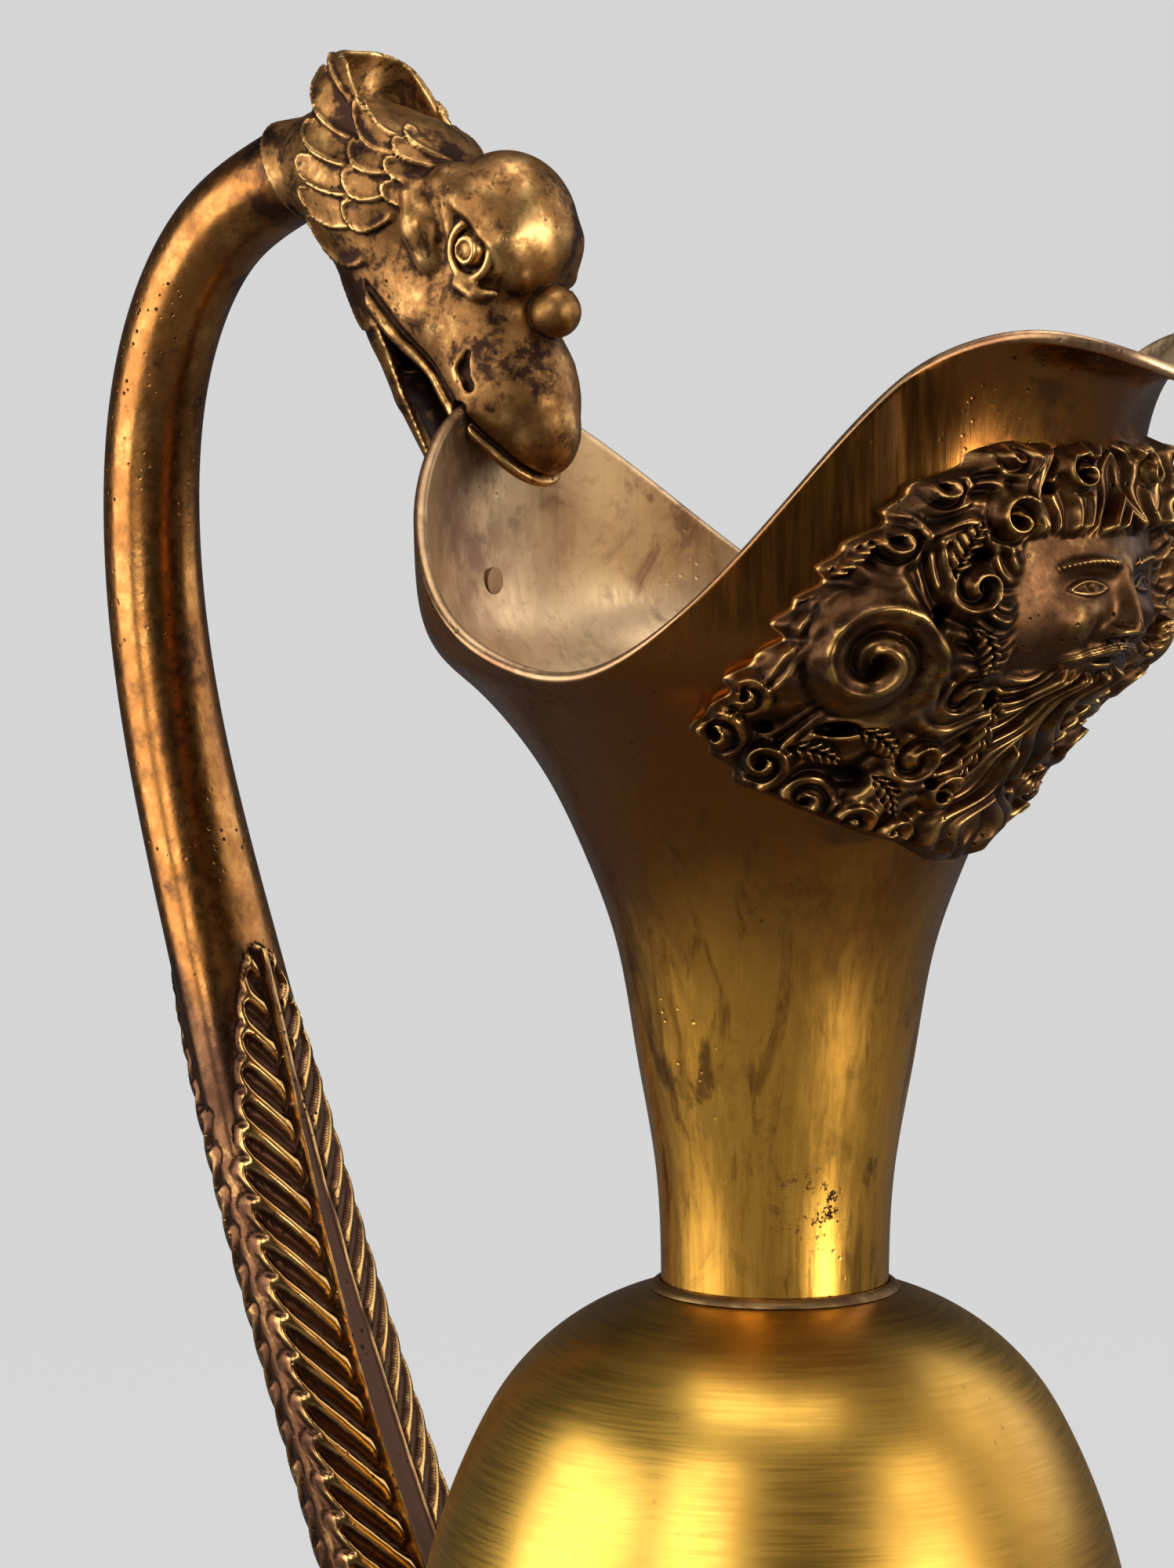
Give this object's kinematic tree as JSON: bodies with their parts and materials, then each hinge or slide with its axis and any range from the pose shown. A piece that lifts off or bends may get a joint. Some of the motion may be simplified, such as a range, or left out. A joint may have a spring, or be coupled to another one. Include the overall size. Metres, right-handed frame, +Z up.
{
  "type": "ewer",
  "caption": "Tall cast and raised metal ewer with an egg-shaped body, trumpet neck, saddle-shaped mouth with a drooping spout, bearded mask and a loop handle ending in a crested bird head.",
  "frame": {"origin": "centre of the foot's resting ring on the floor, on the vessel's axis", "axes": "+X towards the spout, +Z up, -X towards the handle"},
  "size_m": [0.2388, 0.1266, 0.4368],
  "materials": {
    "body_brass": "satin brushed",
    "neck_bronze": "satin with brown patina",
    "handle_bronze": "polished orange-brown patina",
    "mask_bronze": "dark chocolate patina",
    "solder": "dull",
    "iron": "dull"
  },
  "bodies": {
    "root": {"foot": "body_brass", "stem": "body_brass", "body_lower": "body_brass", "body_upper": "body_brass", "tie_rod": "iron", "base_washer": "iron", "base_nut": "iron", "solder_bead": "solder", "neck_lip": "neck_bronze", "wall_plug": "neck_bronze", "handle_arm": "handle_bronze", "handle_stud": "iron", "handle_nut": "iron", "bird_head": "handle_bronze", "mask": "mask_bronze"}
  },
  "joints": []
}
